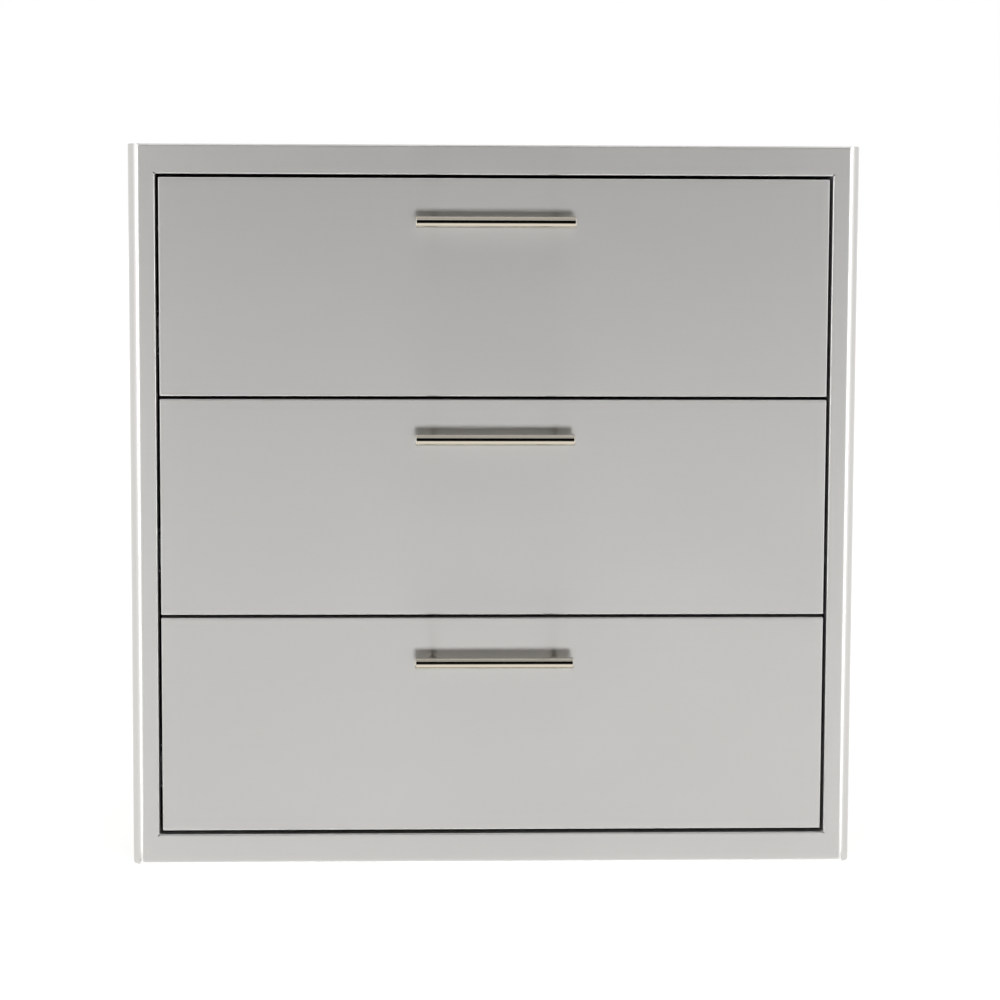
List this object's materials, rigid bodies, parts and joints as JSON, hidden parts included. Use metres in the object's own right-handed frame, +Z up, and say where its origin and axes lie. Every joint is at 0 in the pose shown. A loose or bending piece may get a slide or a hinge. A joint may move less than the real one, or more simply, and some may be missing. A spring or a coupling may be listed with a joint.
{
  "type": "outdoor kitchen drawer unit",
  "caption": "Built-in stainless drawer unit for an outdoor kitchen: flanged front frame, sheet cabinet, and drawers with bar handles on full-extension slides.",
  "frame": {"origin": "middle of the unit's box at the height of the front frame's bottom edge", "axes": "+Z up, -Y out of the drawer fronts, +X to the right as seen from the front"},
  "size_m": [0.762, 0.575, 0.759],
  "materials": {
    "front_steel": "brushed stainless sheet with a fine grain along the width",
    "cabinet_steel": "mill-finish stainless sheet",
    "tray_steel": "satin stainless sheet",
    "handle_polish": "polished stainless bar",
    "slide_zinc": "bright zinc-plated rolled steel",
    "cage_steel": "stamped steel ball cage with steel balls",
    "screw_steel": "plain stainless machine screw"
  },
  "bodies": {
    "cabinet": {"front_frame": "front_steel", "left_side_panel": "cabinet_steel", "right_side_panel": "cabinet_steel", "top_panel": "cabinet_steel", "bottom_panel": "cabinet_steel", "back_panel": "cabinet_steel", "bottom_slide_outer_left": "slide_zinc", "bottom_slide_outer_right": "slide_zinc", "middle_slide_outer_left": "slide_zinc", "middle_slide_outer_right": "slide_zinc", "top_slide_outer_left": "slide_zinc", "top_slide_outer_right": "slide_zinc"},
    "bottom_drawer": {"bottom_front_skin": "front_steel", "bottom_front_liner": "tray_steel", "bottom_tray": "tray_steel", "bottom_handle_bar": "handle_polish", "bottom_handle_post_left": "handle_polish", "bottom_handle_post_right": "handle_polish", "bottom_handle_screw_left": "screw_steel", "bottom_handle_screw_right": "screw_steel", "bottom_slide_inner_left": "slide_zinc", "bottom_slide_inner_right": "slide_zinc"},
    "bottom_middle_members": {"bottom_slide_middle_left": "slide_zinc", "bottom_slide_middle_right": "slide_zinc"},
    "bottom_outer_cages": {"bottom_outer_cage_left": "cage_steel", "bottom_outer_cage_right": "cage_steel"},
    "bottom_inner_cages": {"bottom_inner_cage_left": "cage_steel", "bottom_inner_cage_right": "cage_steel"},
    "middle_drawer": {"middle_front_skin": "front_steel", "middle_front_liner": "tray_steel", "middle_tray": "tray_steel", "middle_handle_bar": "handle_polish", "middle_handle_post_left": "handle_polish", "middle_handle_post_right": "handle_polish", "middle_handle_screw_left": "screw_steel", "middle_handle_screw_right": "screw_steel", "middle_slide_inner_left": "slide_zinc", "middle_slide_inner_right": "slide_zinc"},
    "middle_middle_members": {"middle_slide_middle_left": "slide_zinc", "middle_slide_middle_right": "slide_zinc"},
    "middle_outer_cages": {"middle_outer_cage_left": "cage_steel", "middle_outer_cage_right": "cage_steel"},
    "middle_inner_cages": {"middle_inner_cage_left": "cage_steel", "middle_inner_cage_right": "cage_steel"},
    "top_drawer": {"top_front_skin": "front_steel", "top_front_liner": "tray_steel", "top_tray": "tray_steel", "top_handle_bar": "handle_polish", "top_handle_post_left": "handle_polish", "top_handle_post_right": "handle_polish", "top_handle_screw_left": "screw_steel", "top_handle_screw_right": "screw_steel", "top_slide_inner_left": "slide_zinc", "top_slide_inner_right": "slide_zinc"},
    "top_middle_members": {"top_slide_middle_left": "slide_zinc", "top_slide_middle_right": "slide_zinc"},
    "top_outer_cages": {"top_outer_cage_left": "cage_steel", "top_outer_cage_right": "cage_steel"},
    "top_inner_cages": {"top_inner_cage_left": "cage_steel", "top_inner_cage_right": "cage_steel"}
  },
  "joints": [
    {"name": "bottom_drawer_slide", "type": "slide", "parent": "cabinet", "child": "bottom_drawer", "axis": [0, -1, 0], "range_m": [0, 0.48]},
    {"name": "bottom_middle_slide", "type": "slide", "parent": "cabinet", "child": "bottom_middle_members", "axis": [0, -1, 0], "range_m": [0, 0.24]},
    {"name": "bottom_outer_cage_roll", "type": "slide", "parent": "cabinet", "child": "bottom_outer_cages", "axis": [0, -1, 0], "range_m": [0, 0.12]},
    {"name": "bottom_inner_cage_roll", "type": "slide", "parent": "cabinet", "child": "bottom_inner_cages", "axis": [0, -1, 0], "range_m": [0, 0.36]},
    {"name": "middle_drawer_slide", "type": "slide", "parent": "cabinet", "child": "middle_drawer", "axis": [0, -1, 0], "range_m": [0, 0.48]},
    {"name": "middle_middle_slide", "type": "slide", "parent": "cabinet", "child": "middle_middle_members", "axis": [0, -1, 0], "range_m": [0, 0.24]},
    {"name": "middle_outer_cage_roll", "type": "slide", "parent": "cabinet", "child": "middle_outer_cages", "axis": [0, -1, 0], "range_m": [0, 0.12]},
    {"name": "middle_inner_cage_roll", "type": "slide", "parent": "cabinet", "child": "middle_inner_cages", "axis": [0, -1, 0], "range_m": [0, 0.36]},
    {"name": "top_drawer_slide", "type": "slide", "parent": "cabinet", "child": "top_drawer", "axis": [0, -1, 0], "range_m": [0, 0.48]},
    {"name": "top_middle_slide", "type": "slide", "parent": "cabinet", "child": "top_middle_members", "axis": [0, -1, 0], "range_m": [0, 0.24]},
    {"name": "top_outer_cage_roll", "type": "slide", "parent": "cabinet", "child": "top_outer_cages", "axis": [0, -1, 0], "range_m": [0, 0.12]},
    {"name": "top_inner_cage_roll", "type": "slide", "parent": "cabinet", "child": "top_inner_cages", "axis": [0, -1, 0], "range_m": [0, 0.36]}
  ],
  "couplings": [
    {"joint": "bottom_middle_slide", "follows": "bottom_drawer_slide", "ratio": 0.5},
    {"joint": "bottom_outer_cage_roll", "follows": "bottom_drawer_slide", "ratio": 0.25},
    {"joint": "bottom_inner_cage_roll", "follows": "bottom_drawer_slide", "ratio": 0.75},
    {"joint": "middle_middle_slide", "follows": "middle_drawer_slide", "ratio": 0.5},
    {"joint": "middle_outer_cage_roll", "follows": "middle_drawer_slide", "ratio": 0.25},
    {"joint": "middle_inner_cage_roll", "follows": "middle_drawer_slide", "ratio": 0.75},
    {"joint": "top_middle_slide", "follows": "top_drawer_slide", "ratio": 0.5},
    {"joint": "top_outer_cage_roll", "follows": "top_drawer_slide", "ratio": 0.25},
    {"joint": "top_inner_cage_roll", "follows": "top_drawer_slide", "ratio": 0.75}
  ]
}
